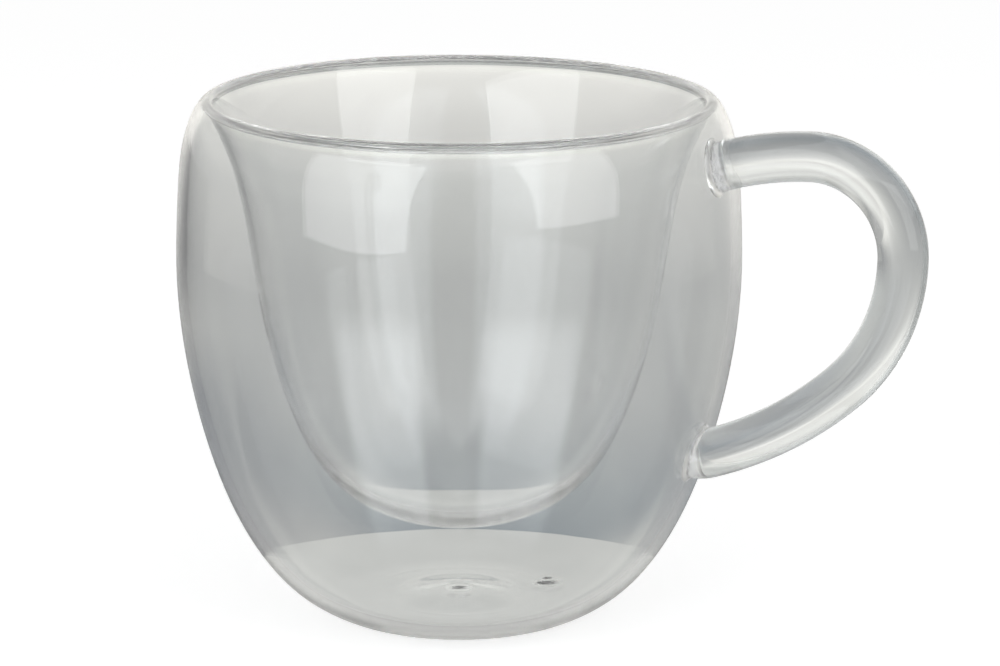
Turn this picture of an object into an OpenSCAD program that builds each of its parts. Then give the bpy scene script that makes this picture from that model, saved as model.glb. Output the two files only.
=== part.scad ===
// Double walled glass cup with a loop handle, in millimetres, +Z up.
// The origin is on the cup's axis, in the plane that the foot stands on, and the handle is at +X.
// Two blown bowls, one inside the other, are fused at the rim and hold a sealed layer of air.

/* [Outer bowl] */
// Widest diameter of the outer bowl
body_d = 93; // [86:0.5:104]
// Height from the foot to the crest of the rim
body_h = 87; // [80:0.5:100]
// Thickness of the outer bowl up its sides
outer_t = 1.7; // [1.3:0.1:2]
// Thickness of the outer bowl under the cup
base_t = 2; // [1.6:0.1:2.6]

/* [Foot] */
// Outer diameter of the ring that the cup stands on
foot_d = 29; // [26:0.5:34]
// Width of the flat on that ring
foot_w = 2.2; // [1.4:0.1:3]
// How far the middle of the base is raised off the table
punt_h = 1.2; // [0.6:0.1:2]

/* [Inner bowl] */
// Thickness of the inner bowl up its sides
inner_t = 1.1; // [0.8:0.1:1.4]
// Thickness of the inner bowl at its bottom
inner_base_t = 1.9; // [1.3:0.1:2.6]
// Height of the inner bowl's underside above the table
inner_lift = 15.5; // [12:0.5:22]

/* [Rim] */
// How far the crest of the rim lies in from the widest part of the outer bowl
shoulder_w = 5.5; // [4:0.25:8]
// How far the mouth lies in from the crest of the rim
rim_in = 1.9; // [1.4:0.1:2.4]
// Depth of the fused ring, from the crest down to the ends of the two bowls
rim_depth = 2.6; // [2.2:0.1:3.2]
// Height of the hollow under the fused ring
rim_arch_h = 0.9; // [0.5:0.1:1.2]

/* [Handle] */
// Diameter of the handle's glass rod
rod_d = 8; // [6.5:0.1:9]
// How far the handle stands out from the widest part of the outer bowl
handle_out = 34; // [30:0.5:42]
// How far below the crest of the rim the upper end leaves the wall
handle_drop = 8; // [7:0.25:12]
// How far below the upper end the handle's outermost point lies
handle_bow = 12; // [9:0.5:17]
// Height from the lower end up to the upper end, where both meet the wall
handle_span = 47.5; // [43:0.5:51]
// Upward slope of the rod where it leaves the wall, in degrees
handle_rise = 19; // [8:1:28]
// Downward slope of the rod as it comes back to the cup, in degrees
handle_fall = 19; // [10:1:30]
// Radius of the short bend that turns the lower end square to the wall
toe_r = 7; // [5:0.5:12]

/* [Welds] */
// Thickness of the fused pad between each end of the handle and the wall
weld_t = 1; // [0.6:0.1:1.6]
// How much wider than the rod a pad is where it meets the wall
weld_flare = 1.5; // [0.8:0.1:2.4]
// Length along the rod over which a pad flares
weld_l = 3; // [2:0.25:5]

/* [Vent seal] */
// Diameter of the hole that let the hot air out while the bowls were fused
vent_d = 2.6; // [2:0.1:3.2]
// Gap from the foot's ring to the edge of that hole
vent_gap = 0.5; // [0.3:0.1:2]
// Direction of the hole from the axis, counted from the handle, in degrees
vent_angle = 45; // [0:5:355]
// Diameter of the bead of glass that closes the hole
vent_bead_d = 6; // [5:0.1:7]
// Height of that bead above the floor inside
vent_bead_h = 1.5; // [1:0.1:2]

/* [Base gather] */
// Diameter of the thick drop of glass left in the middle of the base
gather_d = 5.6; // [4.4:0.1:7]
// Height of that drop above the floor inside
gather_h = 1.3; // [0.8:0.1:2]

/* [Hidden] */
$fn = 96;
// Points drawn on each stretch of a smooth line
line_steps = 5;
// Points drawn on the arch under the rim
arc_steps = 8;
// What a cut runs past the face that it leaves
overrun = 0.5;
// How far each bend of the handle reaches back into the one before it, and how much slimmer it is
bend_lap = 0.2;
bend_step = 0.02;
degrees = 180 / PI;

body_r = body_d / 2;
foot_r = foot_d / 2;
foot_in_r = foot_r - foot_w;
rim_r = body_r - shoulder_w;
mouth_r = rim_r - rim_in;
rod_r = rod_d / 2;
cut_z = body_h - rim_depth;
inner_floor_z = inner_lift + inner_base_t;
vent_r = foot_r + vent_gap + vent_d / 2;

glass = [0.82, 0.88, 0.89, 0.45];
clear_glass = [0.90, 0.93, 0.93, 0.40];
fused_glass = [0.70, 0.78, 0.79, 0.60];

// Smooth lines: a cubic spline that starts and ends on its first and last points

function spline_point(a, b, c, d, t) =
    (a * pow(1 - t, 3) + b * (3 * pow(t, 3) - 6 * t * t + 4)
    + c * (-3 * pow(t, 3) + 3 * t * t + 3 * t + 1) + d * pow(t, 3)) / 6;

function held_ends(p) = let (last = p[len(p) - 1]) concat([p[0], p[0]], p, [last, last]);

function smooth_line(p) =
    let (q = held_ends(p))
    concat(
        [for (i = [0 : len(q) - 4], k = [0 : line_steps - 1])
            spline_point(q[i], q[i + 1], q[i + 2], q[i + 3], k / line_steps)],
        [p[len(p) - 1]]
    );

function backwards(line) = [for (i = [len(line) - 1 : -1 : 0]) line[i]];

// Unit vector out of the glass below and beside a bowl, for a line that climbs from the axis
function outward(line, i) =
    let (d = line[min(i + 1, len(line) - 1)] - line[max(i - 1, 0)])
    [d.y, -d.x] / norm(d);

// A line moved along its outward direction: by t_side where it is upright, by t_floor where it is level
function moved_line(line, t_side, t_floor) = [
    for (i = [0 : len(line) - 1])
        let (n = outward(line, i), t = t_side + (t_floor - t_side) * pow(min(n.y, 0), 2))
        i == 0 ? [0, line[0].y - t] : line[i] + t * n
];

// The upper half of a bowl's line as [height, radius] pairs, and its radius at a height
function height_table(line) = [for (p = line) if (p.y > body_h / 2) [p.y, p.x]];
function radius_at(line, z) = lookup(z, height_table(line));
function below(line, z) = concat([for (p = line) if (p.y < z) p], [[radius_at(line, z), z]]);
function above(line, z) = concat([[radius_at(line, z), z]], [for (p = line) if (p.y > z) p]);

// Outer bowl: a raised middle, a flat ring to stand on, full sides and a shoulder at the rim

punt_shares = [[0, 1], [0.35, 1], [0.8, 0], [1, 0]];
side_shares = [
    [0.42, 0], [0.54, 0.03], [0.65, 0.075], [0.76, 0.155], [0.85, 0.255], [0.925, 0.38],
    [0.98, 0.52], [1.006, 0.665], [0.994, 0.8], [0.982, 0.92], [0.92, 0.995]
];
punt_line = smooth_line([for (s = punt_shares) [s.x * foot_in_r, s.y * punt_h]]);
side_line = smooth_line(concat(
    [[foot_r, 0]],
    [for (s = side_shares) [s.x * body_r, s.y * body_h]],
    [[rim_r, body_h]]
));
outer_face = concat(punt_line, side_line);
outer_inside = moved_line(outer_face, -outer_t, -base_t);

// Height of the floor inside the outer bowl at the vent hole
floor_line = [for (p = outer_inside) if (p.x < body_r / 2) p];
vent_floor_z = lookup(vent_r, floor_line);

// Inner bowl: a round bottom, a slim waist and a mouth that flares to the rim

bowl_shares = [
    [0.17, 0], [0.43, 0.05], [0.6, 0.142], [0.71, 0.281], [0.8, 0.45], [0.845, 0.628],
    [0.89, 0.785], [0.95, 0.9], [1.003, 0.97], [1.03, 1]
];
inner_face = smooth_line(concat(
    [[0, inner_floor_z]],
    [for (s = bowl_shares) [s.x * mouth_r, inner_floor_z + s.y * (body_h - inner_floor_z)]],
    [[rim_r, body_h]]
));
inner_outside = moved_line(inner_face, inner_t, inner_base_t);

// Everything inside the outer bowl's outer face, or that much and a layer of the stated thickness
module body_mass(layer = 0) {
    line = moved_line(outer_face, layer, layer);
    rotate_extrude() polygon(concat([[0, body_h + layer]], [[0, line[0].y]], [for (p = line) if (p.x > 0) p]));
}

module outer_shell() {
    rotate_extrude() polygon(concat(below(outer_face, cut_z), backwards(below(outer_inside, cut_z))));
}

// Handle: five tangent arcs in the plane of the handle, from the upper end round to the lower end

side_heights = [for (p = side_line) if (p.y > 0) [p.y, p.x]];
function wall_r(z) = lookup(z, side_heights);
function heading(a) = [cos(a), sin(a)];

upper_z = body_h - handle_drop;
lower_z = upper_z - handle_span;
upper_end = [wall_r(upper_z), upper_z];
lower_end = [wall_r(lower_z), lower_z];
outermost = [body_r + handle_out - rod_r, upper_z - handle_bow];
fall_angle = handle_fall - 180;
down_angle = -90;
in_angle = -180;
// The second leg of the upper bend is this many times its first leg
upper_leg_share = 2;
// The lower bend is the rounder one, with equal legs
lower_leg_share = 1;

// Two tangent arcs from p to q: the length of the first leg of the line that they round off
function first_leg(p, a, q, b, k) =
    let (
        v = q - p, ta = heading(a), tb = heading(b),
        square = 2 * k * (1 - ta * tb), slope = 2 * (v * (ta + k * tb))
    )
    (-slope + sqrt(slope * slope + 4 * square * (v * v))) / (2 * square);

// One arc is [start, heading at its start, degrees that it turns down, radius]
function arc_between(p, a, leg, b) = [p, a, a - b, leg / tan((a - b) / 2)];

function two_arcs(p, a, q, b, k) =
    let (
        leg = first_leg(p, a, q, b, k),
        p_corner = p + leg * heading(a),
        q_corner = q - k * leg * heading(b),
        middle = (k * p_corner + q_corner) / (k + 1),
        d = q_corner - p_corner,
        turn = atan2(d.y, d.x),
        m = turn > a ? turn - 360 : turn
    )
    [arc_between(p, a, leg, m), arc_between(middle, m, k * leg, b)];

toe_start = lower_end - toe_r * [sin(fall_angle) - sin(in_angle), cos(in_angle) - cos(fall_angle)];
handle_arcs = concat(
    two_arcs(upper_end, handle_rise, outermost, down_angle, upper_leg_share),
    two_arcs(outermost, down_angle, toe_start, fall_angle, lower_leg_share),
    [[toe_start, fall_angle, handle_fall, toe_r]]
);

// One bend of the rod, drawn in the XZ plane, that starts a lead early and runs on for a trail
module bend(arc, r, lead, trail) {
    start = arc[0];
    radius = arc[3];
    lead_angle = lead / radius * degrees;
    turn = arc[2] + lead_angle + trail / radius * degrees;
    centre = start + radius * [sin(arc[1]), -cos(arc[1])];
    translate([centre.x, 0, centre.y])
        rotate([90, 0, 0])
            rotate([0, 0, arc[1] + 90 + lead_angle - turn])
                rotate_extrude(angle = turn)
                    translate([radius, 0])
                        circle(r = r);
}

// The whole rod. Each bend seats a hair inside the one before it, and both ends run into the wall
module rod() {
    last = len(handle_arcs) - 1;
    for (i = [0 : last])
        bend(handle_arcs[i], rod_r - i * bend_step, i == 0 ? rod_d : bend_lap, i == last ? rod_r : 0);
}

// A round piece along the rod, from inside the wall to a length outside it
module along(end, angle, length, r_in, r_out) {
    translate([end.x, 0, end.y])
        rotate([0, 90 - angle, 0])
            translate([0, 0, -rod_d])
                cylinder(h = rod_d + length, r1 = r_in, r2 = r_out);
}

// A pad of fused glass that follows the wall, and flares from the rod's width to its own
module weld(end, angle) {
    flare_in = weld_flare / 2 * (1 + rod_d / weld_l);
    difference() {
        intersection() {
            along(end, angle, weld_l, rod_r + flare_in, rod_r);
            body_mass(weld_t);
        }
        body_mass();
    }
}

// A drop of glass: a round cap of the stated width and height, with its flat side down
module drop(d, h) {
    sphere_r = (d * d / 4 + h * h) / (2 * h);
    intersection() {
        translate([0, 0, h - sphere_r]) sphere(r = sphere_r);
        cylinder(h = h + overrun, d = d + overrun);
    }
}

module at_vent() {
    rotate([0, 0, vent_angle]) translate([vent_r, 0, 0]) children();
}

// The outer bowl, open only at the vent hole
module vented_shell() {
    difference() {
        outer_shell();
        at_vent() translate([0, 0, -overrun]) cylinder(h = vent_floor_z + vent_bead_h + overrun, d = vent_d);
    }
}

module outer_bowl() {
    color(glass) vented_shell();
}

module inner_bowl() {
    color(clear_glass) rotate_extrude() polygon(concat(
        below(inner_outside, cut_z),
        backwards(below(inner_face, cut_z))
    ));
}

module rim_weld() {
    gap_in = radius_at(inner_outside, cut_z);
    gap_out = radius_at(outer_inside, cut_z);
    gap_mid = (gap_in + gap_out) / 2;
    arch = [for (i = [0 : arc_steps])
        let (a = 180 * i / arc_steps)
        [gap_mid - (gap_out - gap_in) / 2 * cos(a), cut_z + rim_arch_h * sin(a)]];
    color(fused_glass) rotate_extrude() polygon(concat(
        above(side_line, cut_z),
        backwards([for (p = above(inner_face, cut_z)) if (p.y < body_h) p]),
        arch
    ));
}

module handle() {
    color(glass) difference() {
        rod();
        body_mass(weld_t);
    }
}

module upper_handle_weld() {
    color(fused_glass) weld(upper_end, handle_rise);
}

module lower_handle_weld() {
    color(fused_glass) weld(lower_end, 0);
}

module vent_seal() {
    color(fused_glass) difference() {
        intersection() {
            at_vent() union() {
                translate([0, 0, -overrun]) cylinder(h = overrun + vent_floor_z, d = vent_d);
                translate([0, 0, vent_floor_z - overrun]) drop(vent_bead_d, vent_bead_h + overrun);
            }
            body_mass();
        }
        vented_shell();
    }
}

module base_gather() {
    top_z = outer_inside[0].y;
    color(fused_glass) difference() {
        translate([0, 0, top_z - overrun]) drop(gather_d, gather_h + overrun);
        outer_shell();
    }
}

outer_bowl();
inner_bowl();
rim_weld();
handle();
upper_handle_weld();
lower_handle_weld();
vent_seal();
base_gather();
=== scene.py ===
# Double walled glass cup: the glass, a plain studio and the camera, in metres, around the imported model.
import math

import bmesh
import bpy
import numpy as np
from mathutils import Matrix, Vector
from mathutils.geometry import delaunay_2d_cdt

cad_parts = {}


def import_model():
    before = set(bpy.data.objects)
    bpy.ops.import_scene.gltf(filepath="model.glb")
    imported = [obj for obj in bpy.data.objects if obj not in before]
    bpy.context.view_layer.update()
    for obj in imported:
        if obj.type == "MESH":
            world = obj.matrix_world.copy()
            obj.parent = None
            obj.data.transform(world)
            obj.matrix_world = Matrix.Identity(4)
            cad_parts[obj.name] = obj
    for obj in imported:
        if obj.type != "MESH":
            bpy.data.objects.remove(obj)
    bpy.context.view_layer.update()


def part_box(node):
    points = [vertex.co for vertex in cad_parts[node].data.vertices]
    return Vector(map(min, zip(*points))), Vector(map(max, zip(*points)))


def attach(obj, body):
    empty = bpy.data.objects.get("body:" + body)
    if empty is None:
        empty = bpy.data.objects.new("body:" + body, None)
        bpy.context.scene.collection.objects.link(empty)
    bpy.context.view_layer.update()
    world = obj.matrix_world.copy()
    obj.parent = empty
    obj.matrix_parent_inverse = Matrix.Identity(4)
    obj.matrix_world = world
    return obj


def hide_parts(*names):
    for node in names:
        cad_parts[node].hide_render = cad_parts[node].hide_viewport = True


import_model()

MM = 0.001

# Sizes that the frame gives
body_r = -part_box("outer_bowl")[0].y
body_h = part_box("rim_weld")[1].z
cut_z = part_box("outer_bowl")[1].z

# Sizes of the glass, the same as in the model, with the handle's rise and fall in degrees
foot_r = 14.5 * MM
foot_in_r = 12.3 * MM
punt_h = 1.2 * MM
outer_t = 1.7 * MM
base_t = 2 * MM
rim_r = 41 * MM
mouth_r = 39.1 * MM
inner_t = 1.1 * MM
inner_base_t = 1.9 * MM
inner_floor_z = 17.4 * MM
drawn_body_r = 46.5 * MM
rod_r = 4 * MM
upper_z = 79 * MM
lower_z = 31.5 * MM
outermost = np.array([76.5, 67]) * MM
handle_rise = 19
handle_fall = 19
toe_r = 7 * MM
upper_leg_share = 2
lower_leg_share = 1
weld_t = 1 * MM
weld_flare = 0.75 * MM
vent_r = 16.3 * MM
vent_angle = math.radians(45)
vent_bead_r = 3 * MM
gather_r = 2.8 * MM

# Sizes that differ from the model, for the look: flatter drops, and a gap that reaches higher into the
# rim, straight on between the two walls and then round
rim_gap_rise = 1.2 * MM
rim_arch_h = 0.5 * MM
vent_bead_h = 0.8 * MM
vent_pit_r = 0.9 * MM
vent_pit_h = 0.5 * MM
gather_h = 0.4 * MM

# How finely the glass and the studio are drawn
LINE_STEPS = 12
COLUMNS = 240
ARCH_STEPS = 24
ROD_SIDES = 96
ROD_RINGS = 320
PAD_ROWS = 12
BEAD_ROWS = 28
JOINT_RINGS = (0.66, 0.33)
WALL_STEPS = 400
HALVINGS = 40
TABLE_SIDES = 180
SKY_COLUMNS, SKY_ROWS = 96, 48

# Lengths too small to see: between two neighbouring heights, and from the axis
HAIR = MM * 1e-3
ON_AXIS = MM * 1e-4

# Round a footprint on a wall, this many rows and columns are drawn anew. Old points nearer to it than this
# share of a column go, and points within the last length, in millimetres, count as one.
PATCH_ROWS = 3
PATCH_COLUMNS = 2
PATCH_GAP = 0.4
SAME_POINT = 1e-7

# Kinds of face: glass against air, and the inner face of a joint where two pieces are melted into one
CLEAR, FUSED = 0, 1


# Smooth lines in the plane of radius and height

def spline(points):
    """A smooth line drawn by these points, which starts at the first and ends at the last."""
    p = [np.array(q, float) for q in points]
    q = [p[0], p[0]] + p + [p[-1], p[-1]]
    line = []
    for a, b, c, d in zip(q, q[1:], q[2:], q[3:]):
        for k in range(LINE_STEPS):
            t = k / LINE_STEPS
            line.append((a * (1 - t) ** 3 + b * (3 * t ** 3 - 6 * t * t + 4)
                         + c * (-3 * t ** 3 + 3 * t * t + 3 * t + 1) + d * t ** 3) / 6)
    return np.array(line + [p[-1]])


def outward(line):
    """Unit vectors out of the glass below and beside a bowl, along a line that climbs from the axis."""
    d = np.gradient(line, axis=0)
    n = np.stack([d[:, 1], -d[:, 0]], 1)
    return n / np.linalg.norm(n, axis=1)[:, None]


def moved(line, side, floor):
    """The line moved out along its normals: by side where it is upright, by floor where it lies flat."""
    n = outward(line)
    n[0] = (0, -1)
    t = side + (floor - side) * np.minimum(n[:, 1], 0) ** 2
    return line + n * t[:, None]


def radius_at(line, z):
    upper = line[line[:, 1] > body_h / 2]
    return np.interp(z, upper[:, 1], upper[:, 0])


def below(line, z):
    return np.vstack([line[line[:, 1] < z - HAIR], [radius_at(line, z), z]])


def above(line, z):
    return np.vstack([[radius_at(line, z), z], line[line[:, 1] > z + HAIR]])


punt_shares = [(0, 1), (0.35, 1), (0.8, 0), (1, 0)]
side_shares = [
    (0.42, 0), (0.54, 0.03), (0.65, 0.075), (0.76, 0.155), (0.85, 0.255), (0.925, 0.38),
    (0.98, 0.52), (1.006, 0.665), (0.994, 0.8), (0.982, 0.92), (0.92, 0.995),
]
bowl_shares = [
    (0.17, 0), (0.43, 0.05), (0.6, 0.142), (0.71, 0.281), (0.8, 0.45), (0.845, 0.628),
    (0.89, 0.785), (0.95, 0.9), (1.003, 0.97), (1.03, 1),
]
side_line = spline([(foot_r, 0)] + [(x * drawn_body_r, y * body_h) for x, y in side_shares]
                   + [(rim_r, body_h)])
punt_line = spline([(x * foot_in_r, y * punt_h) for x, y in punt_shares])
outer_face = np.vstack([punt_line, side_line])
outer_inside = moved(outer_face, -outer_t, -base_t)
inner_height = body_h - inner_floor_z
inner_face = spline([(0, inner_floor_z)]
                    + [(x * mouth_r, inner_floor_z + y * inner_height) for x, y in bowl_shares]
                    + [(rim_r, body_h)])
inner_outside = moved(inner_face, inner_t, inner_base_t)


# Meshes

def add_object(name, data):
    thing = bpy.data.objects.new(name, data)
    bpy.context.scene.collection.objects.link(thing)
    return thing


class Shell:
    """The points of one piece with their normals, and its faces with their kind."""

    def __init__(self):
        self.points, self.normals, self.faces, self.kinds, self.facings = [], [], [], [], []

    def point(self, place, normal):
        self.points.append(tuple(place))
        self.normals.append(tuple(normal))
        return len(self.points) - 1

    def face(self, corners, kind=CLEAR, facing=None):
        """Adds a face of three or four corners, which looks the way of facing or of its points' normals."""
        corners = [c for i, c in enumerate(corners) if c != corners[i - 1]]
        if len(corners) > 2:
            self.faces.append(corners)
            self.kinds.append(kind)
            self.facings.append(facing if facing is not None else (0, 0, 0))

    def turned_faces(self):
        """The faces, with their corners in the order that makes each look outward."""
        points, normals = np.array(self.points), np.array(self.normals)
        corners = np.array([(f + f[-1:])[:4] for f in self.faces])
        p = points[corners]
        n = np.cross(p[:, 2] - p[:, 0], p[:, 3] - p[:, 1])
        flat = corners[:, 2] == corners[:, 3]
        n[flat] = np.cross(p[flat, 1] - p[flat, 0], p[flat, 2] - p[flat, 0])
        facings = np.array(self.facings, float)
        own = ~facings.any(axis=1)
        facings[own] = normals[corners[own]].sum(axis=1)
        back = (n * facings).sum(axis=1) < 0
        return [f[::-1] if b else f for f, b in zip(self.faces, back)]

    def band(self, lower, upper, kind=CLEAR, facing=None):
        """Quads between two closed loops of points."""
        for j in range(len(lower)):
            k = (j + 1) % len(lower)
            self.face([lower[j], lower[k], upper[k], upper[j]], kind, facing)

    def fan(self, centre, loop, kind=CLEAR, facing=None):
        for j in range(len(loop)):
            self.face([centre, loop[j], loop[(j + 1) % len(loop)]], kind, facing)

    def build(self, name, body_material):
        mesh = bpy.data.meshes.new(name)
        mesh.from_pydata(self.points, [], self.turned_faces())
        mesh.materials.append(body_material)
        mesh.materials.append(fused_joint)
        mesh.polygons.foreach_set("material_index", self.kinds)
        mesh.polygons.foreach_set("use_smooth", [True] * len(self.faces))
        mesh.update()
        mesh.normals_split_custom_set_from_vertices(self.normals)
        return add_object(name, mesh)


def lathe(shell, line, normals):
    """Points of a line turned round the axis: one list of columns for each point of the line."""
    rows = []
    for (r, z), (nr, nz) in zip(line, normals):
        if r < ON_AXIS:
            rows.append([shell.point((0, 0, z), (0, 0, math.copysign(1, nz)))] * COLUMNS)
            continue
        row = []
        for j in range(COLUMNS):
            a = 2 * math.pi * j / COLUMNS
            c, s = math.cos(a), math.sin(a)
            row.append(shell.point((r * c, r * s, z), (nr * c, nr * s, nz)))
        rows.append(row)
    return rows


def inside_loop(x, y, loop):
    inside = False
    for (x0, y0), (x1, y1) in zip(loop, loop[1:] + loop[:1]):
        if (y0 > y) != (y1 > y) and x < x0 + (y - y0) * (x1 - x0) / (y1 - y0):
            inside = not inside
    return inside


def turned_surface(shell, line, normals, footprints=()):
    """A lathe surface in which each footprint, a closed loop of places on it, is a joint face."""
    rows = lathe(shell, line, normals)
    along = np.concatenate([[0], np.cumsum(np.linalg.norm(np.diff(line, axis=0), axis=1))])
    step = 2 * math.pi / COLUMNS
    taken = set()
    for loop in footprints:
        nearest = [np.argmin(np.hypot(line[:, 0] - math.hypot(p[0], p[1]), line[:, 1] - p[2]))
                   for p in loop]
        angles = np.array([math.atan2(p[1], p[0]) for p in loop])
        i0 = max(min(nearest) - PATCH_ROWS, 0)
        i1 = min(max(nearest) + PATCH_ROWS, len(line) - 1)
        j0 = math.floor(angles.min() / step) - PATCH_COLUMNS
        j1 = math.ceil(angles.max() / step) + PATCH_COLUMNS
        r_mid = line[(i0 + i1) // 2][0]
        ids, loop_flat = [], []
        for p, near, a in zip(loop, nearest, angles):
            lo, hi = max(near - 1, 0), min(near + 1, len(line) - 1)
            seg = line[hi] - line[lo]
            q = np.array([math.hypot(p[0], p[1]), p[2]]) - line[lo]
            share = float(np.dot(q, seg) / np.dot(seg, seg))
            v = along[lo] + share * (along[hi] - along[lo])
            loop_flat.append((a * r_mid, v))
            n = normals[near]
            ids.append(shell.point(p, (n[0] * math.cos(a), n[0] * math.sin(a), n[1])))
        flat = list(loop_flat)
        gap = PATCH_GAP * step * r_mid
        ring = np.array(loop_flat)
        for i in range(i0, i1 + 1):
            for j in range(j0, j1 + 1):
                place = (j * step * r_mid, along[i])
                edge = i in (i0, i1) or j in (j0, j1)
                if edge or np.hypot(*(ring - place).T).min() > gap:
                    flat.append(place)
                    ids.append(rows[i][j % COLUMNS])
        count = len(loop)
        edges = [(k, (k + 1) % count) for k in range(count)]
        scale = 1 / MM
        places = [Vector((x * scale, y * scale)) for x, y in flat]
        found = delaunay_2d_cdt(places, edges, [], 0, SAME_POINT)
        for tri in found[2]:
            corners = [ids[found[3][v][0]] for v in tri]
            middle = sum((found[0][v] for v in tri), Vector((0, 0))) / 3
            fused = inside_loop(middle.x / scale, middle.y / scale, loop_flat)
            shell.face(corners, FUSED if fused else CLEAR)
        taken.update((i, j % COLUMNS) for i in range(i0, i1) for j in range(j0, j1))
    for i in range(len(rows) - 1):
        for j in range(COLUMNS):
            if (i, j) not in taken:
                k = (j + 1) % COLUMNS
                shell.face([rows[i][j], rows[i][k], rows[i + 1][k], rows[i + 1][j]])
    return rows


# Handle line: five tangent arcs in the plane of the handle

side_z = side_line[side_line[:, 1] > 0]


def wall_radius(z, layer=0.0):
    if layer == 0:
        return np.interp(z, side_z[:, 1], side_z[:, 0])
    raised = moved(outer_face, layer, layer)
    raised = raised[(raised[:, 1] > MM) & (raised[:, 0] > foot_r)]
    keep = np.concatenate([[True], np.diff(np.maximum.accumulate(raised[:, 1])) > 0])
    return np.interp(z, raised[keep, 1], raised[keep, 0])


def heading(a):
    return np.array([math.cos(math.radians(a)), math.sin(math.radians(a))])


def two_arcs(p, a, q, b, k):
    """Two tangent arcs from p with heading a to q with heading b, the second with legs k times as long.

    Each arc is its start, its heading there, its turn and its radius, with angles in degrees.
    """
    def arc(start, h0, length, h1):
        return start, h0, h0 - h1, length / math.tan(math.radians(h0 - h1) / 2)

    v, ta, tb = q - p, heading(a), heading(b)
    square = 2 * k * (1 - ta @ tb)
    slope = 2 * (v @ (ta + k * tb))
    leg = (-slope + math.sqrt(slope * slope + 4 * square * (v @ v))) / (2 * square)
    p_corner, q_corner = p + leg * ta, q - k * leg * tb
    middle = (k * p_corner + q_corner) / (k + 1)
    d = q_corner - p_corner
    m = math.degrees(math.atan2(d[1], d[0]))
    m = m - 360 if m > a else m
    return [arc(p, a, leg, m), arc(middle, m, k * leg, b)]


upper_end = np.array([wall_radius(upper_z), upper_z])
lower_end = np.array([wall_radius(lower_z), lower_z])
fall = handle_fall - 180
toe_start = lower_end - toe_r * np.array([
    math.sin(math.radians(fall)) - math.sin(math.radians(-180)),
    math.cos(math.radians(-180)) - math.cos(math.radians(fall)),
])
handle_arcs = (two_arcs(upper_end, handle_rise, outermost, -90, upper_leg_share)
               + two_arcs(outermost, -90, toe_start, fall, lower_leg_share)
               + [(toe_start, fall, handle_fall, toe_r)])
arc_lengths = [math.radians(turn) * r for _, _, turn, r in handle_arcs]
handle_length = sum(arc_lengths)


def handle_at(s):
    """Place and heading on the handle's middle line, which runs on straight past both ends."""
    if s < 0:
        return upper_end + s * heading(handle_rise), handle_rise
    if s > handle_length:
        return lower_end + (s - handle_length) * heading(-180), -180
    for (start, h, turn, r), length in zip(handle_arcs, arc_lengths):
        if s <= length:
            break
        s -= length
    centre = start + r * np.array([math.sin(math.radians(h)), -math.cos(math.radians(h))])
    now = h - math.degrees(s / r)
    return centre - r * np.array([math.sin(math.radians(now)), -math.cos(math.radians(now))]), now


def rod_place(s, angle, r):
    """A place on a tube of radius r round the handle's line, and its direction away from the line."""
    (x, z), h = handle_at(s)
    up = np.array([-math.sin(math.radians(h)), 0, math.cos(math.radians(h))])
    out = math.cos(angle) * up + math.sin(angle) * np.array([0.0, 1.0, 0.0])
    return np.array([x, 0, z]) + r * out, out


wall_tables = {}


def outside_wall(p, layer):
    """How far a place lies outside the wall, or outside that layer on the wall."""
    if layer not in wall_tables:
        z = np.linspace(2 * MM, body_h - 1 * MM, WALL_STEPS)
        wall_tables[layer] = z, wall_radius(z, layer)
    z, r = wall_tables[layer]
    return math.hypot(p[0], p[1]) - np.interp(p[2], z, r)


def seat(angle, r, layer, end):
    """Where that line along the tube meets the wall's layer, at the upper end, 0, or the lower end, 1."""
    reach = 3 * rod_r
    lo, hi = (-reach, reach) if end == 0 else (handle_length + reach, handle_length - reach)
    for _ in range(HALVINGS):
        mid = (lo + hi) / 2
        if outside_wall(rod_place(mid, angle, r)[0], layer) < 0:
            lo = mid
        else:
            hi = mid
    return mid


rod_angles = [2 * math.pi * k / ROD_SIDES for k in range(ROD_SIDES)]


def pad_radius(share):
    """Radius of a weld pad, from the wall at share 0 to the rod at share 1."""
    return rod_r + weld_flare * (1 - share) ** 2


def pad_loop(end, share):
    r = pad_radius(share)
    return [rod_place(seat(a, r, weld_t * share, end), a, r)[0] for a in rod_angles]


# The vent's bead and the gather in the middle of the base stand on the floor inside the outer bowl

floor_share = 0.6
floor_line = outer_inside[outer_inside[:, 0] < floor_share * body_r]


def floor_z(x, y):
    return float(np.interp(math.hypot(x, y), floor_line[:, 0], floor_line[:, 1]))


vent_x, vent_y = vent_r * math.cos(vent_angle), vent_r * math.sin(vent_angle)


def drop_height(rho, radius, height):
    """A drop that runs out flat into the floor round it."""
    return height * (1 - (rho / radius) ** 2) ** 2


def vent_place(rho, angle):
    """A place on the bead: a drop with a pit at its top, where the hole was drawn closed."""
    x, y = vent_x + rho * math.cos(angle), vent_y + rho * math.sin(angle)
    lift = drop_height(rho, vent_bead_r, vent_bead_h)
    pit = vent_pit_h * math.exp(-(rho / vent_pit_r) ** 4)
    share = rho / vent_bead_r
    ground = (1 - share) * floor_z(vent_x, vent_y) + share * floor_z(x, y)
    return np.array([x, y, ground + lift - pit])


vent_loop = [vent_place(vent_bead_r, a) for a in rod_angles]


# Materials

# What clearness leaves is the slight haze of real glass, without which light runs round inside the walls
# for ever. The glass also glows faintly white of itself, the same everywhere: a painted glow that stands in
# for the room's light which the haze scatters.
glass_ior = 1.47
clearness = 0.985
painted_haze_glow = 0.006


def principled(name):
    material = bpy.data.materials.new(name)
    material.use_nodes = True
    return material, material.node_tree.nodes["Principled BSDF"]


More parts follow.
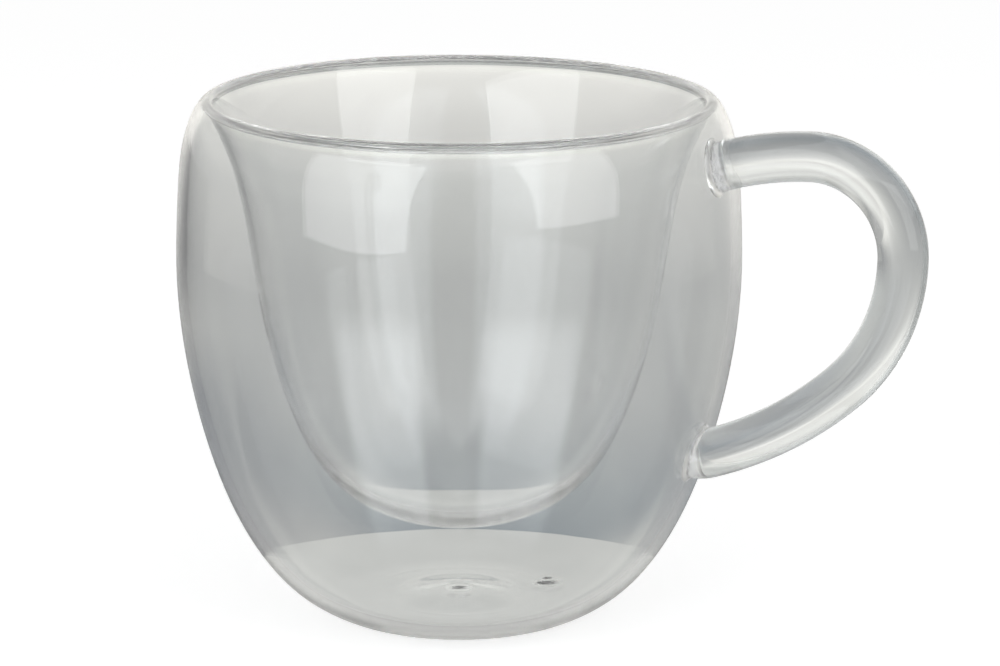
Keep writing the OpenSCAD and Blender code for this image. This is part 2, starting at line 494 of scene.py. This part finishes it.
def glass(name, tint, wave_size, wave_depth):
    """Clear blown glass: smooth, with the slow ripples that blowing and flame work leave."""
    material, shader = principled(name)
    shader.inputs["Base Color"].default_value = (*tint, 1)
    shader.inputs["Roughness"].default_value = 0.0
    shader.inputs["IOR"].default_value = glass_ior
    shader.inputs["Transmission Weight"].default_value = clearness
    # The emission is a painted glow, faint and white, in place of the room's light that the haze scatters
    shader.inputs["Emission Color"].default_value = (1, 1, 1, 1)
    shader.inputs["Emission Strength"].default_value = painted_haze_glow
    nodes, links = material.node_tree.nodes, material.node_tree.links
    place = nodes.new("ShaderNodeTexCoord")
    noise = nodes.new("ShaderNodeTexNoise")
    noise.inputs["Scale"].default_value = 1 / wave_size
    noise.inputs["Detail"].default_value = 1
    bump = nodes.new("ShaderNodeBump")
    bump.inputs["Strength"].default_value = 1
    bump.inputs["Distance"].default_value = wave_depth
    links.new(place.outputs["Object"], noise.inputs["Vector"])
    links.new(noise.outputs["Fac"], bump.inputs["Height"])
    links.new(bump.outputs["Normal"], shader.inputs["Normal"])
    return material


fused_joint, fused_shader = principled("fused_joint")
fused_shader.inputs["Alpha"].default_value = 0
outer_glass = glass("outer_glass", (0.955, 0.965, 0.965), 14 * MM, 0.02 * MM)
inner_glass = glass("inner_glass", (0.937, 0.94, 0.94), 14 * MM, 0.03 * MM)
handle_glass = glass("handle_glass", (0.82, 0.84, 0.845), 10 * MM, 0.01 * MM)
fused_glass = glass("fused_glass", (0.96, 0.97, 0.965), 6 * MM, 0.01 * MM)


# Pieces

UP, DOWN = (0, 0, 1), (0, 0, -1)


def finished(piece, node):
    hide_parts(node)
    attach(piece, "root")


def outer_bowl():
    shell = Shell()
    out, into = below(outer_face, cut_z), below(outer_inside, cut_z)
    outside = turned_surface(shell, out, outward(out), [pad_loop(0, 0), pad_loop(1, 0)])
    split = int(np.searchsorted(into[:, 0], gather_r))
    into = np.insert(into, split, [gather_r, floor_z(gather_r, 0)], axis=0)
    into_normals = -outward(into)
    inside = turned_surface(shell, into[split:], into_normals[split:], [vent_loop])
    centre = shell.point((0, 0, into[0][1]), UP)
    shell.fan(centre, inside[0], FUSED)
    shell.band(outside[-1], inside[-1], FUSED, UP)
    finished(shell.build("outer_bowl_glass", outer_glass), "outer_bowl")


def inner_bowl():
    shell = Shell()
    out, into = below(inner_outside, cut_z), below(inner_face, cut_z)
    outside = turned_surface(shell, out, outward(out))
    inside = turned_surface(shell, into, -outward(into))
    shell.band(outside[-1], inside[-1], FUSED, UP)
    finished(shell.build("inner_bowl_glass", inner_glass), "inner_bowl")


def rim_weld():
    shell = Shell()
    out, into = above(outer_face, cut_z), above(inner_face, cut_z)
    over = np.vstack([out, into[::-1][1:]])
    n = np.vstack([outward(out), -outward(into)[::-1][1:]])
    n[len(out) - 1] = (0, 1)
    spring_z = cut_z + rim_gap_rise
    climb = above(below(inner_outside, spring_z), cut_z)
    descent = above(below(outer_inside, spring_z), cut_z)
    gap_in, gap_out = climb[-1][0], descent[-1][0]
    middle, half = (gap_in + gap_out) / 2, (gap_out - gap_in) / 2
    turn = np.linspace(0, math.pi, ARCH_STEPS + 1)[1:-1]
    arch = np.stack([middle - half * np.cos(turn), spring_z + rim_arch_h * np.sin(turn)], 1)
    arch_n = -np.stack([-np.cos(turn) / half, np.sin(turn) / rim_arch_h], 1)
    arch_n /= np.linalg.norm(arch_n, axis=1)[:, None]
    top = turned_surface(shell, over, n)
    under = turned_surface(shell, np.vstack([climb, arch, descent[::-1]]),
                           np.vstack([outward(climb), arch_n, -outward(descent)[::-1]]))
    shell.band(top[-1], under[0], FUSED, DOWN)
    shell.band(under[-1], top[0], FUSED, DOWN)
    finished(shell.build("rim_weld_glass", fused_glass), "rim_weld")


def handle():
    shell = Shell()
    starts = [seat(a, rod_r, weld_t, 0) for a in rod_angles]
    ends = [seat(a, rod_r, weld_t, 1) for a in rod_angles]
    rings = []
    for i in range(ROD_RINGS + 1):
        share = i / ROD_RINGS
        rings.append([shell.point(*rod_place(s0 + share * (s1 - s0), a, rod_r))
                      for s0, s1, a in zip(starts, ends, rod_angles)])
    for one, two in zip(rings, rings[1:]):
        shell.band(one, two)
    close_end(shell, rings[0], 0)
    close_end(shell, rings[-1], 1)
    finished(shell.build("handle_glass", handle_glass), "handle")


def close_end(shell, loop, end, layer=weld_t, facing=(-1, 0, 0)):
    """The joint face across a ring of the handle, which follows the wall: two rings and a middle point."""
    inner = loop
    for share in JOINT_RINGS:
        r = share * math.dist(shell.points[loop[0]], shell.points[loop[ROD_SIDES // 2]]) / 2
        ring = [shell.point(rod_place(seat(a, r, layer, end), a, r)[0], facing) for a in rod_angles]
        shell.band(inner, ring, FUSED, facing)
        inner = ring
    centre = shell.point(rod_place(seat(0, 0, layer, end), 0, 0)[0], facing)
    shell.fan(centre, inner, FUSED, facing)


def weld(name, node, end):
    shell = Shell()
    loops = [pad_loop(end, i / PAD_ROWS) for i in range(PAD_ROWS + 1)]
    grid = np.array(loops)
    round_it = np.roll(grid, -1, axis=1) - np.roll(grid, 1, axis=1)
    n = np.cross(round_it, np.gradient(grid, axis=0))
    n /= np.linalg.norm(n, axis=2)[:, :, None]
    middle = grid.mean(axis=1, keepdims=True)
    n *= np.sign((n * (grid - middle)).sum(axis=2, keepdims=True))
    rings = [[shell.point(p, m) for p, m in zip(loop, row)] for loop, row in zip(grid, n)]
    for one, two in zip(rings, rings[1:]):
        shell.band(one, two)
    close_end(shell, rings[0], end, 0, (-1, 0, 0))
    close_end(shell, rings[-1], end, weld_t, (1, 0, 0))
    finished(shell.build(name, fused_glass), node)


def bead(name, node, place, radius):
    """A drop of glass that is melted to the floor under it."""
    shell = Shell()
    step = 1e-3
    rings = []
    for i in range(BEAD_ROWS, 0, -1):
        rho = radius * i / BEAD_ROWS
        row = []
        for a in rod_angles:
            across = place(rho + radius * step, a) - place(rho - radius * step, a)
            n = np.cross(across, place(rho, a + step) - place(rho, a - step))
            row.append(shell.point(place(rho, a), n / np.linalg.norm(n)))
        rings.append(row)
    for one, two in zip(rings, rings[1:]):
        shell.band(one, two)
    shell.fan(shell.point(place(0, 0), UP), rings[-1])
    x, y, _ = np.mean([shell.points[k] for k in rings[0]], axis=0)
    low = shell.point((x, y, floor_z(x, y)), DOWN)
    shell.fan(low, rings[0], FUSED, DOWN)
    finished(shell.build(name, fused_glass), node)


def gather_place(rho, angle):
    lift = drop_height(min(rho, gather_r), gather_r, gather_h)
    return np.array([rho * math.cos(angle), rho * math.sin(angle), floor_z(gather_r, 0) + lift])


outer_bowl()
inner_bowl()
rim_weld()
handle()
weld("upper_handle_weld_glass", "upper_handle_weld", 0)
weld("lower_handle_weld_glass", "lower_handle_weld", 1)
bead("vent_seal_glass", "vent_seal", vent_place, vent_bead_r)
bead("base_gather_glass", "base_gather", gather_place, gather_r)


# Studio: a white floor for the camera, and the table, sky and softboxes that the glass shows
# Round the cup, the camera is at 0 degrees, its right-hand side at +90 and the far side at 180

camera_side = math.radians(25)
camera_distance = 620 * MM
camera_height = 197.9 * MM
camera_pitch = math.radians(13.655)
camera_sees = (10 * MM, 50)
photo_focal_px = 3854
photo_width_px = 1000
photo_axis_px = 459.2
sensor = 36


def round_cup(angle, distance):
    """The level place at an angle round the cup from the front, and at a distance from its axis."""
    return math.sin(angle) * distance, -math.cos(angle) * distance


def camera():
    data = bpy.data.cameras.new("camera")
    data.sensor_width = sensor
    data.lens = photo_focal_px / photo_width_px * sensor
    data.shift_x = 0.5 - photo_axis_px / photo_width_px
    data.clip_start, data.clip_end = camera_sees
    eye = add_object("camera", data)
    eye.location = (*round_cup(camera_side, camera_distance), camera_height)
    eye.rotation_euler = (math.pi / 2 - camera_pitch, 0, camera_side)
    bpy.context.scene.camera = eye


def new_tree(name):
    """A material with no nodes yet, and its node tree."""
    material = bpy.data.materials.new(name)
    material.use_nodes = True
    material.node_tree.nodes.clear()
    return material, material.node_tree


def stage_mesh(name, points, material):
    """One flat face with these corners."""
    mesh = bpy.data.meshes.new(name)
    mesh.from_pydata(points, [], [tuple(range(len(points)))])
    mesh.materials.append(material)
    thing = add_object(name, mesh)
    return thing


def seen_by(thing, camera=False, diffuse=False, glass=False):
    thing.visible_camera = camera
    thing.visible_diffuse = diffuse
    thing.visible_glossy = glass
    thing.visible_transmission = glass
    thing.visible_shadow = False


def turned_to_camera(thing):
    thing.rotation_euler = (0, 0, camera_side)
    seen_by(thing, glass=True)


# Shader nodes: each function adds what its name says to a node tree and gives its output

def put(tree, socket, value):
    """Gives an input a constant, or links it to another node's output."""
    if isinstance(value, bpy.types.NodeSocket):
        tree.links.new(value, socket)
    else:
        socket.default_value = value


def calc(tree, operation, first, second=0.0):
    node = tree.nodes.new("ShaderNodeMath")
    node.operation = operation
    put(tree, node.inputs[0], first)
    put(tree, node.inputs[1], second)
    return node.outputs[0]


def step(tree, value, low, high):
    """Climbs smoothly from 0 to 1 as the value goes from low to high."""
    node = tree.nodes.new("ShaderNodeMapRange")
    node.interpolation_type = "SMOOTHSTEP"
    put(tree, node.inputs["Value"], value)
    node.inputs["From Min"].default_value = low
    node.inputs["From Max"].default_value = high
    return node.outputs[0]


def between(tree, value, rise, fall):
    """Climbs from 0 to 1 over one span of the value and goes back to 0 over another."""
    return calc(tree, "SUBTRACT", step(tree, value, *rise), step(tree, value, *fall))


def shade(tree, value, stops):
    """A colour for each value, drawn smoothly through the stops, each a value and its colour."""
    low, high = stops[0][0], stops[-1][0]
    share = tree.nodes.new("ShaderNodeMapRange")
    put(tree, share.inputs["Value"], value)
    share.inputs["From Min"].default_value = low
    share.inputs["From Max"].default_value = high
    node = tree.nodes.new("ShaderNodeValToRGB")
    elements = node.color_ramp.elements
    while len(elements) < len(stops):
        elements.new(0.5)
    for element, (place, colour) in zip(elements, stops):
        element.position = (place - low) / (high - low)
        element.color = (*colour, 1)
    tree.links.new(share.outputs[0], node.inputs[0])
    return node.outputs[0]


def mix(tree, share, first, second, blend="MIX"):
    node = tree.nodes.new("ShaderNodeMixRGB")
    node.blend_type = blend
    put(tree, node.inputs[0], share)
    put(tree, node.inputs[1], first)
    put(tree, node.inputs[2], second)
    return node.outputs[0]


def place_from(tree, pole=(0, 0, 0)):
    """How far to the right, beyond and above a pole the place is."""
    place = tree.nodes.new("ShaderNodeTexCoord")
    shift = tree.nodes.new("ShaderNodeVectorMath")
    shift.operation = "SUBTRACT"
    put(tree, shift.inputs[0], place.outputs["Object"])
    put(tree, shift.inputs[1], pole)
    split = tree.nodes.new("ShaderNodeSeparateXYZ")
    tree.links.new(shift.outputs[0], split.inputs[0])
    return split.outputs


def polar(tree, pole=(0, 0, 0)):
    """Angle round a pole from the camera's side in degrees, distance from it on the level, and height."""
    x, y, z = place_from(tree, pole)
    turn = calc(tree, "ARCTAN2", x, calc(tree, "MULTIPLY", y, -1))
    angle = calc(tree, "MULTIPLY", turn, math.degrees(1))
    squares = calc(tree, "ADD", calc(tree, "MULTIPLY", x, x), calc(tree, "MULTIPLY", y, y))
    return angle, calc(tree, "SQRT", squares), z


def all_round(tree, angle, value, shades, front_edge, back_edge, right_lead=0):
    """Shades for the front, left, right and back, which blend into one another round the cup.

    The back begins earlier on the right than on the left, by the angle right_lead.
    """
    front, left, right, far = (shade(tree, value, stops) for stops in shades)
    beside = step(tree, angle, -1, 1)
    sides = mix(tree, beside, left, right)
    away = calc(tree, "ABSOLUTE", angle)
    lead = calc(tree, "MULTIPLY", beside, right_lead)
    behind = step(tree, calc(tree, "ADD", away, lead), *back_edge)
    return mix(tree, behind, mix(tree, step(tree, away, *front_edge), front, sides), far)


def glow(tree, colour):
    out = tree.nodes.new("ShaderNodeOutputMaterial")
    light = tree.nodes.new("ShaderNodeEmission")
    put(tree, light.inputs["Color"], colour)
    tree.links.new(light.outputs[0], out.inputs["Surface"])


# The three level things lie just under the foot ring. The camera sees the floor, and the glass sees the
# table with the pool of light on it.
white_floor_z = -0.05 * MM
pool_z = -0.06 * MM
table_z = -0.08 * MM
floor_reach = 4.0
floor_shade = (0.8, 0.8, 0.8, 1)
floor_glow = 0.665


def floor():
    """Pale and lit, and for the camera it glows enough to be white, so that only the shadow shows."""
    material, tree = new_tree("floor_white")
    out = tree.nodes.new("ShaderNodeOutputMaterial")
    both = tree.nodes.new("ShaderNodeAddShader")
    diffuse = tree.nodes.new("ShaderNodeBsdfDiffuse")
    diffuse.inputs["Color"].default_value = floor_shade
    light = tree.nodes.new("ShaderNodeEmission")
    rays = tree.nodes.new("ShaderNodeLightPath").outputs
    put(tree, light.inputs["Strength"], calc(tree, "MULTIPLY", rays["Is Camera Ray"], floor_glow))
    tree.links.new(diffuse.outputs[0], both.inputs[0])
    tree.links.new(light.outputs[0], both.inputs[1])
    tree.links.new(both.outputs[0], out.inputs["Surface"])
    corners = [(x * floor_reach, y * floor_reach, white_floor_z)
               for x, y in ((-1, -1), (1, -1), (1, 1), (-1, 1))]
    seen_by(stage_mesh("floor", corners, material), camera=True, diffuse=True)


# The table's shades by distance from the cup's axis, and the pool's from front to back, in millimetres
table_front = [(42, (0.60, 0.60, 0.58)), (60, (0.7, 0.7, 0.68)), (120, (1.2, 1.2, 1.15)),
               (330, (0.5, 0.5, 0.48))]
table_left = [(42, (0.37, 0.37, 0.37)), (90, (0.28, 0.29, 0.30)), (130, (0.26, 0.27, 0.28)),
              (200, (0.36, 0.36, 0.35)), (330, (0.2, 0.2, 0.2))]
table_right = [(42, (0.46, 0.46, 0.45)), (80, (0.36, 0.37, 0.38)), (130, (0.52, 0.52, 0.5)),
               (200, (0.52, 0.52, 0.5)), (330, (0.36, 0.36, 0.36))]
table_back = [(42, (0.23, 0.26, 0.28)), (70, (0.27, 0.295, 0.31)), (130, (0.385, 0.39, 0.39)),
              (250, (0.50, 0.50, 0.49)), (450, (0.75, 0.74, 0.71)), (700, (0.99, 0.97, 0.92))]
pool_shades = [(-41, (0.38, 0.38, 0.37)), (-25, (0.48, 0.48, 0.465)), (-12, (0.62, 0.62, 0.6)),
               (41, (0.56, 0.56, 0.54))]
pool_r = 41.5 * MM

# The table reaches far only behind the cup, from this angle on. Its front shades give way to the side
# ones between two angles, and those to the back ones, sooner on the right.
table_near = 0.33
table_far = 1.2
table_behind = math.radians(120)
table_front_edge = (50, 90)
table_back_edge = (140, 168)
table_right_lead = 20

# The light that each softbox throws on the table in front of the cup, between two angles from a pole. It
# fades in and out between two distances from the pole.
glare_pole = 25 * MM
glare_left = (-50, -17)
glare_right = (10, 49)
glare_shade = (1.15, 1.2, 1.25, 1)
glare_edge = 3
glare_start = (25 * MM, 45 * MM)
glare_end = (150 * MM, table_near)


def table_edge(angle):
    return table_far if abs(math.remainder(angle, 2 * math.pi)) > table_behind else table_near


def round_face(name, edge, z, material):
    """A level face round the cup's axis, with the radius that edge gives for each angle from the front."""
    angles = [2 * math.pi * k / TABLE_SIDES for k in range(TABLE_SIDES)]
    turned_to_camera(stage_mesh(name, [(*round_cup(a, edge(a)), z) for a in angles], material))


def table():
    """The tabletop round the cup: darker in the cup's shadow and paler toward its far edge."""
    material, tree = new_tree("table_pale")
    angle, distance, _ = polar(tree)
    by_distance = calc(tree, "LOGARITHM", calc(tree, "DIVIDE", distance, MM), math.e)
    shades = [[(math.log(r), colour) for r, colour in stops]
              for stops in (table_front, table_left, table_right, table_back)]
    colour = all_round(tree, angle, by_distance, shades, table_front_edge, table_back_edge,
                       table_right_lead)
    around, away, _ = polar(tree, (0, -glare_pole, 0))
    reach = between(tree, away, glare_start, glare_end)
    for sides in (glare_left, glare_right):
        rise, fall = ((side - glare_edge, side + glare_edge) for side in sides)
        wedge = between(tree, around, rise, fall)
        colour = mix(tree, calc(tree, "MULTIPLY", wedge, reach), colour, glare_shade, "ADD")
    glow(tree, colour)
    round_face("table", table_edge, table_z, material)


def pool_of_light():
    """The light that the cup gathers under itself."""
    material, tree = new_tree("table_pool")
    _, beyond, _ = place_from(tree)
    glow(tree, shade(tree, calc(tree, "DIVIDE", beyond, MM), pool_shades))
    round_face("pool_of_light", lambda angle: pool_r, pool_z, material)


# The sky's shades by elevation in degrees, and the angles round the cup where they give way to one another
sky_r = 3.0
sky_front = [(-10, (0.5, 0.5, 0.48)), (0, (0.14, 0.14, 0.13)), (8, (0.03, 0.03, 0.03)),
             (25, (0.05, 0.05, 0.05)), (36, (0.6, 0.6, 0.6)), (60, (1.1, 1.1, 1.1))]
sky_left = [(-10, (0.40, 0.39, 0.38)), (0, (0.26, 0.26, 0.27)), (8, (0.48, 0.48, 0.47)),
            (15, (0.32, 0.32, 0.32)), (22, (0.62, 0.61, 0.58)), (40, (0.5, 0.49, 0.47)),
            (60, (0.05, 0.05, 0.05))]
sky_right = [(-10, (0.45, 0.45, 0.44)), (8, (0.54, 0.53, 0.52)), (15, (0.42, 0.42, 0.41)),
             (22, (0.6, 0.59, 0.56)), (36, (0.85, 0.83, 0.78)), (60, (0.35, 0.35, 0.35))]
sky_back = [(-10, (0.85, 0.83, 0.80)), (0, (0.90, 0.88, 0.84)), (8, (0.95, 0.94, 0.89)),
            (15, (0.75, 0.74, 0.71)), (22, (0.85, 0.84, 0.80)), (35, (0.48, 0.48, 0.46)),
            (90, (0.5, 0.5, 0.47))]
sky_front_edge = (15, 30)
sky_back_edge = (140, 155)


def sky():
    """What stands round the table: a dark room in front, dim sides and a pale wall behind."""
    material, tree = new_tree("sky_grey")
    angle, _, height = polar(tree)
    elevation = calc(tree, "ARCSINE", calc(tree, "DIVIDE", height, sky_r))
    degrees = calc(tree, "MULTIPLY", elevation, math.degrees(1))
    shades = sky_front, sky_left, sky_right, sky_back
    glow(tree, all_round(tree, angle, degrees, shades, sky_front_edge, sky_back_edge))
    ball = bmesh.new()
    bmesh.ops.create_uvsphere(ball, u_segments=SKY_COLUMNS, v_segments=SKY_ROWS, radius=sky_r)
    mesh = bpy.data.meshes.new("sky")
    ball.to_mesh(mesh)
    ball.free()
    mesh.materials.append(material)
    thing = add_object("sky", mesh)
    turned_to_camera(thing)


# The softboxes: two angles round the cup and two elevations, in degrees, and the shade
softbox_distance = 0.9
softboxes = {
    "softbox_left": ((-66, -18), (-5, 41), (1.5, 1.52, 1.54)),
    "softbox_right": ((28, 68), (-1.5, 45), (1.5, 1.51, 1.52)),
}


def softbox(name, sides, elevations, colour):
    """An area lamp that fills the view from the cup between two angles round it and two elevations."""
    lift = math.radians(sum(elevations) / 2)
    data = bpy.data.lights.new(name, "AREA")
    data.shape = "RECTANGLE"
    data.size = 2 * softbox_distance * math.tan(math.radians(sides[1] - sides[0]) / 2) * math.cos(lift)
    data.size_y = 2 * softbox_distance * math.tan(math.radians(elevations[1] - elevations[0]) / 2)
    data.energy = data.size * data.size_y * math.pi
    data.color = colour
    lamp = add_object(name, data)
    side = camera_side + math.radians(sum(sides) / 2)
    away = Vector((*round_cup(side, softbox_distance * math.cos(lift)), softbox_distance * math.sin(lift)))
    lamp.location = Vector((0, 0, body_h / 2)) + away
    lamp.rotation_euler = away.to_track_quat("Z", "Y").to_euler()
    lamp.visible_camera = False


room_light = 0.35


def world():
    """White for the camera and for the glass, and dimmer where it lights other things."""
    place = bpy.data.worlds.new("studio")
    bpy.context.scene.world = place
    place.use_nodes = True
    tree = place.node_tree
    tree.nodes.clear()
    out = tree.nodes.new("ShaderNodeOutputWorld")
    white = tree.nodes.new("ShaderNodeBackground")
    white.inputs["Color"].default_value = (1, 1, 1, 1)
    rays = tree.nodes.new("ShaderNodeLightPath").outputs
    shown = calc(tree, "MAXIMUM", rays["Is Camera Ray"], rays["Is Glossy Ray"])
    shown = calc(tree, "MAXIMUM", shown, rays["Is Transmission Ray"])
    level = tree.nodes.new("ShaderNodeMapRange")
    level.inputs["To Min"].default_value = room_light
    level.inputs["To Max"].default_value = 1
    tree.links.new(shown, level.inputs["Value"])
    tree.links.new(level.outputs[0], white.inputs["Strength"])
    tree.links.new(white.outputs[0], out.inputs["Surface"])


camera()
world()
floor()
table()
pool_of_light()
sky()
for name, box in softboxes.items():
    softbox(name, *box)

view = bpy.context.scene.view_settings
view.view_transform = "Standard"

# Light goes a long way inside the walls before it leaves them
glass_bounces = 128
cycles = bpy.context.scene.cycles
cycles.max_bounces = glass_bounces
cycles.transmission_bounces = glass_bounces
cycles.glossy_bounces = glass_bounces
cycles.transparent_max_bounces = 64
